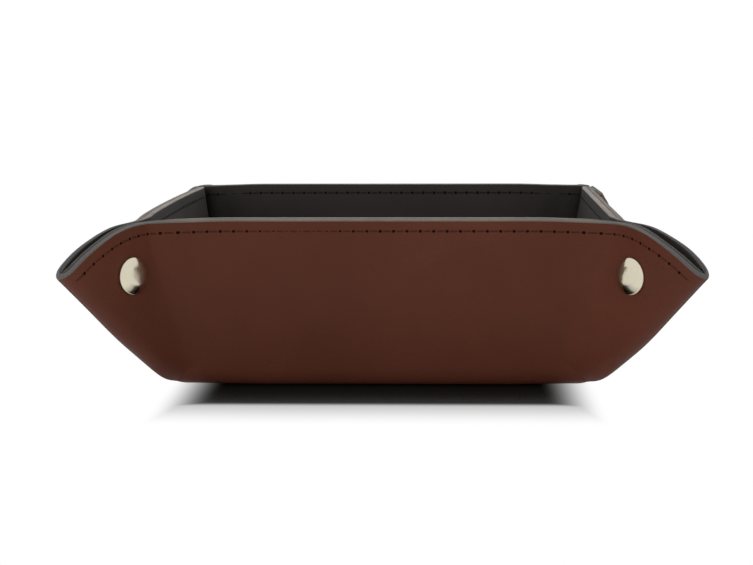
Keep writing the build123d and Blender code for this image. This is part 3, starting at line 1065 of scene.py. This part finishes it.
HIDDEN_METALS = {"snap_socket": NICKEL_DULL, "snap_stud": NICKEL_DULL, "snap_spring": STEEL}
for name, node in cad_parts.items():
    for start, metal in HIDDEN_METALS.items():
        if name.startswith(start):
            node.data.materials.clear()
            node.data.materials.append(metal)


# Floor, light and camera

def seen_by(tree):
    """1 for camera, glossy and transmission rays, which show the white background."""
    path = tree.nodes.new("ShaderNodeLightPath")
    seen = path.outputs["Is Camera Ray"]
    for ray in ("Is Glossy Ray", "Is Transmission Ray"):
        either = tree.nodes.new("ShaderNodeMath")
        either.operation = "MAXIMUM"
        tree.links.new(seen, either.inputs[0])
        tree.links.new(path.outputs[ray], either.inputs[1])
        seen = either.outputs[0]
    return seen


# How far, in metres, and how strongly the floor is darkened close to the tray: painted shade, drawn
# from ambient occlusion
CONTACT_REACH, CONTACT_POWER = 0.09, 8.0


def floor_material():
    m = Nodes("floor")
    tree = m.tree
    white = m.mix(m.noise(40, 2), srgb(248, 248, 248), srgb(252, 252, 252))
    near = tree.nodes.new("ShaderNodeAmbientOcclusion")
    near.samples = 8
    near.inputs["Distance"].default_value = CONTACT_REACH
    seen = seen_by(tree)
    # Painted shade: where the tray hides the sky, the floor turns near black for camera, glossy and
    # transmission rays, and stays white for all other rays
    free_of_painted_shade = m.math("MAXIMUM", m.math("POWER", near.outputs["AO"], CONTACT_POWER),
                      m.math("SUBTRACT", 1.0, seen))
    m.set(Base_Color=m.mix(free_of_painted_shade, srgb(18, 15, 13), white))
    m.set(Roughness=0.9, Specular_IOR_Level=0.05)
    glow = tree.nodes.new("ShaderNodeEmission")
    away = tree.nodes.new("ShaderNodeAttribute")
    away.attribute_name = "away"
    mix = tree.nodes.new("ShaderNodeMixShader")
    m.link(m.math("MULTIPLY", away.outputs["Fac"], seen), mix.inputs[0])
    m.link(m.shader.outputs[0], mix.inputs[1])
    m.link(glow.outputs[0], mix.inputs[2])
    m.link(mix.outputs[0], m.out.inputs[0])
    return m.mat


# Where the shadow gives way to white, and over how many millimetres, for rise()
FRONT_NEAR, FRONT_FAR, FRONT_SHARES, FRONT_JOIN = (97.5, 6.5), (100.0, 36.0), (0.55, 0.45), (40.0, 18.0)
FLANK, FLANK_POWER = (53.0, 19.0), 1.5
BACK, BACK_JOIN = (66.0, 40.0), (50.0, 14.0)
SIDE_START, SIDE_REACH, SIDE_EXTRA, SIDE_MIDDLE = 64.0, 10.0, 12.0, (15.0, 30.0)


def floor_away(x, y):
    """How far each point of the floor is from the object's shadow, from 0 to 1."""
    side, front = np.abs(x), -y
    flank = rise(side, *FLANK) ** FLANK_POWER
    beyond = FRONT_SHARES[0] * rise(front, *FRONT_NEAR) + FRONT_SHARES[1] * rise(front, *FRONT_FAR)
    reach = SIDE_REACH + SIDE_EXTRA * (1 - rise(np.abs(y), *SIDE_MIDDLE))
    around = rise(side, SIDE_START, reach)
    behind = np.maximum(rise(y, *BACK), flank) * rise(y, *BACK_JOIN)
    out = np.where(y > 0, np.maximum(around, behind), around)
    share = rise(front, *FRONT_JOIN)
    return out * (1 - share) + np.maximum(beyond, flank) * share


FINE_HALF, FINE_POINTS, FAR = 168, 225, np.array([400, 3000, 30000])
# The ground falls a little at both sides, where the opened walls hang lower than the base
SIDE_FALL, SIDE_FALL_AT = -6.5, (80.0, 18.0)
FLOOR_Z = -0.0002


def build_floor():
    """A fine sheet under the object, and plain far parts around it."""
    line = np.concatenate([-FAR[::-1], np.linspace(-FINE_HALF, FINE_HALF, FINE_POINTS), FAR])
    x, y = np.meshgrid(line, line)
    b = Build()
    b.grid(np.stack([x, y, SIDE_FALL * rise(np.abs(x), *SIDE_FALL_AT)], -1), 0)
    obj = make_object("floor", b.all_points() * MM, b.faces, [floor_material()], b.index)
    away = obj.data.attributes.new("away", "FLOAT", "POINT")
    away.data.foreach_set("value", floor_away(x, y).ravel().astype(np.float32))
    obj.location.z = FLOOR_Z


build_floor()


def build_world():
    """White where it is seen, and a dim, slightly warm fill light everywhere else."""
    world = bpy.data.worlds.new("studio")
    bpy.context.scene.world = world
    world.use_nodes = True
    tree = world.node_tree
    tree.nodes.clear()
    out = tree.nodes.new("ShaderNodeOutputWorld")
    mix = tree.nodes.new("ShaderNodeMixShader")
    tree.links.new(seen_by(tree), mix.inputs[0])
    for k, (colour, strength) in enumerate((((1.0, 0.99, 0.98, 1), 0.36), ((1, 1, 1, 1), 1.0))):
        light = tree.nodes.new("ShaderNodeBackground")
        light.inputs[0].default_value = colour
        light.inputs[1].default_value = strength
        tree.links.new(light.outputs[0], mix.inputs[1 + k])
    tree.links.new(mix.outputs[0], out.inputs[0])


build_world()


# The lamps: name, place, target, width and height in metres, and power in watts
LAMPS = (
    ("front", (-0.3, -1.4, 0.30), (0, 0, 0.03), (1.0, 0.5), 7.6),
    ("back", (0.0, 0.36, 0.98), (0, 0, 0.0), (0.09, 0.09), 6),
    ("left", (-1.1, -0.45, 0.25), (0, 0, 0.03), (0.5, 0.5), 3.5),
    ("right", (1.1, -0.35, 0.35), (0, 0, 0.03), (0.5, 0.6), 2.5),
)

for name, location, target, size, power in LAMPS:
    light = bpy.data.lights.new(name, "AREA")
    light.shape = "RECTANGLE"
    light.size, light.size_y = size
    light.energy = power
    obj = bpy.data.objects.new(name, light)
    obj.location = location
    obj.rotation_euler = (Vector(target) - Vector(location)).to_track_quat("-Z", "Y").to_euler()
    obj.visible_glossy = False
    bpy.context.scene.collection.objects.link(obj)

# The camera as fitted to the photo: focal length in its pixels, place in millimetres, radians
PHOTO_WIDTH = 753
SENSOR_WIDTH = 36
FOCAL = 1931.3
CAMERA_AT = (18.07, -709.76, 116.90)
PITCH, YAW, ROLL = 0.126664, 0.030583, -0.003208


def build_camera():
    data = bpy.data.cameras.new("camera")
    data.sensor_fit = "HORIZONTAL"
    data.sensor_width = SENSOR_WIDTH
    data.lens = FOCAL / PHOTO_WIDTH * SENSOR_WIDTH
    data.clip_start = 0.01
    camera = bpy.data.objects.new("camera", data)
    cp, sp, cy, sy = math.cos(PITCH), math.sin(PITCH), math.cos(YAW), math.sin(YAW)
    forward = Vector((-sy * cp, cy * cp, -sp))
    right = Vector((cy, sy, 0))
    up = right.cross(forward)
    cr, sr = math.cos(ROLL), math.sin(ROLL)
    axes = (cr * right + sr * up, -sr * right + cr * up, -forward, Vector(CAMERA_AT) * MM)
    matrix = Matrix.Identity(4)
    for k, axis in enumerate(axes):
        for r in range(3):
            matrix[r][k] = axis[r]
    camera.matrix_world = matrix
    bpy.context.scene.collection.objects.link(camera)
    bpy.context.scene.camera = camera


build_camera()

bpy.context.scene.view_settings.view_transform = "Standard"
